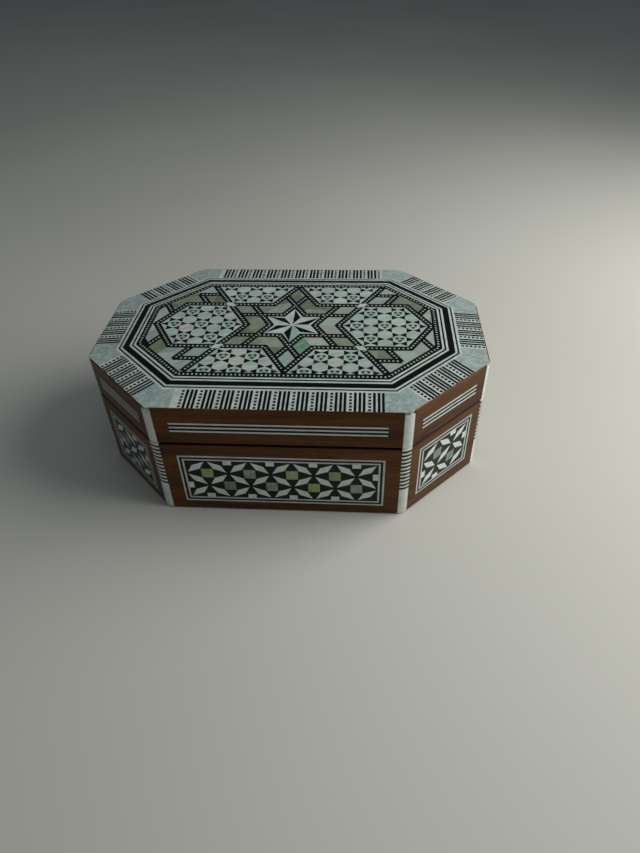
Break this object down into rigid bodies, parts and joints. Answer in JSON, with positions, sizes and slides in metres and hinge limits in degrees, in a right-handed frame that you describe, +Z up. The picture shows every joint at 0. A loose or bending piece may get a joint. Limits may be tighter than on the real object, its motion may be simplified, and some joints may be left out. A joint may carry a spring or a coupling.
{
  "type": "inlaid octagonal wooden box",
  "caption": "Small octagonal wooden keepsake box with a hinged lid, inlaid all over with bone, ebony and mother-of-pearl marquetry and lined with velvet.",
  "frame": {"origin": "on the table, under the middle of the box's outline", "axes": "+X along the box to its right end, +Y to the hinged back, +Z up through the lid"},
  "size_m": [0.17, 0.116, 0.0578],
  "materials": {
    "lacquered_wood": "reddish-brown stain under satin lacquer",
    "inner_wood": "plain sawn beech",
    "ebony": "black wood, polished flush under lacquer",
    "bone": "polished bone under lacquer",
    "pale_shell": "mother-of-pearl, silvery, high polish",
    "olive_shell": "mother-of-pearl, olive-grey, high polish",
    "rose_shell": "mother-of-pearl, rose-grey, high polish",
    "grey_shell": "mother-of-pearl, grey, high polish",
    "abalone_shell": "abalone, turquoise, high polish",
    "lining_velvet": "short-pile velvet on card",
    "base_felt_cloth": "thin felt",
    "brass": "satin, slightly tarnished",
    "steel_pin": "plain drawn wire"
  },
  "bodies": {
    "base": {"base_corner_bands_bone": "bone", "base_corner_bands_ebony": "ebony", "base_corner_strips_plain": "bone", "base_felt": "base_felt_cloth", "base_floor_board": "inner_wood", "base_floor_lining": "lining_velvet", "base_panel_bone_edge_squares": "bone", "base_panel_bone_leaves": "bone", "base_panel_bone_lines": "bone", "base_panel_ebony_grounds": "ebony", "base_panel_ebony_lines": "ebony", "base_panel_grey_shell_squares": "grey_shell", "base_panel_olive_shell_squares": "olive_shell", "base_wall_back": "lacquered_wood", "base_wall_back_left": "lacquered_wood", "base_wall_back_right": "lacquered_wood", "base_wall_front": "lacquered_wood", "base_wall_front_left": "lacquered_wood", "base_wall_front_right": "lacquered_wood", "base_wall_left": "lacquered_wood", "base_wall_lining": "lining_velvet", "base_wall_right": "lacquered_wood", "hinge_lower_leaves": "brass", "hinge_lower_screws": "brass", "hinge_pins": "steel_pin"},
    "lid": {"hinge_upper_leaves": "brass", "hinge_upper_screws": "brass", "lid_abalone_tiles": "abalone_shell", "lid_border_strips": "bone", "lid_corner_plates": "pale_shell", "lid_corner_strips": "bone", "lid_frame_bone_lines": "bone", "lid_frame_dotted_band": "ebony", "lid_frame_ebony_band": "ebony", "lid_frame_ebony_lines": "ebony", "lid_mosaic_hexagons": "bone", "lid_mosaic_trapezoids": "bone", "lid_olive_shell_tiles": "olive_shell", "lid_pale_shell_tiles": "pale_shell", "lid_pinwheel_bone_rays": "bone", "lid_pinwheel_ebony_rays": "ebony", "lid_rose_shell_tiles": "rose_shell", "lid_side_bone_lines": "bone", "lid_side_ebony_lines": "ebony", "lid_star_hubs": "bone", "lid_star_inner_filets": "ebony", "lid_star_outer_filets": "ebony", "lid_top_board": "inner_wood", "lid_top_lining": "lining_velvet", "lid_wall_back": "lacquered_wood", "lid_wall_back_left": "lacquered_wood", "lid_wall_back_right": "lacquered_wood", "lid_wall_front": "lacquered_wood", "lid_wall_front_left": "lacquered_wood", "lid_wall_front_right": "lacquered_wood", "lid_wall_left": "lacquered_wood", "lid_wall_lining": "lining_velvet", "lid_wall_right": "lacquered_wood"}
  },
  "joints": [
    {"name": "lid_hinge", "type": "hinge", "parent": "base", "child": "lid", "pos_m": [0, 0.0564, 0.0381], "axis": [-1, 0, 0], "range_deg": [0, 100]}
  ]
}
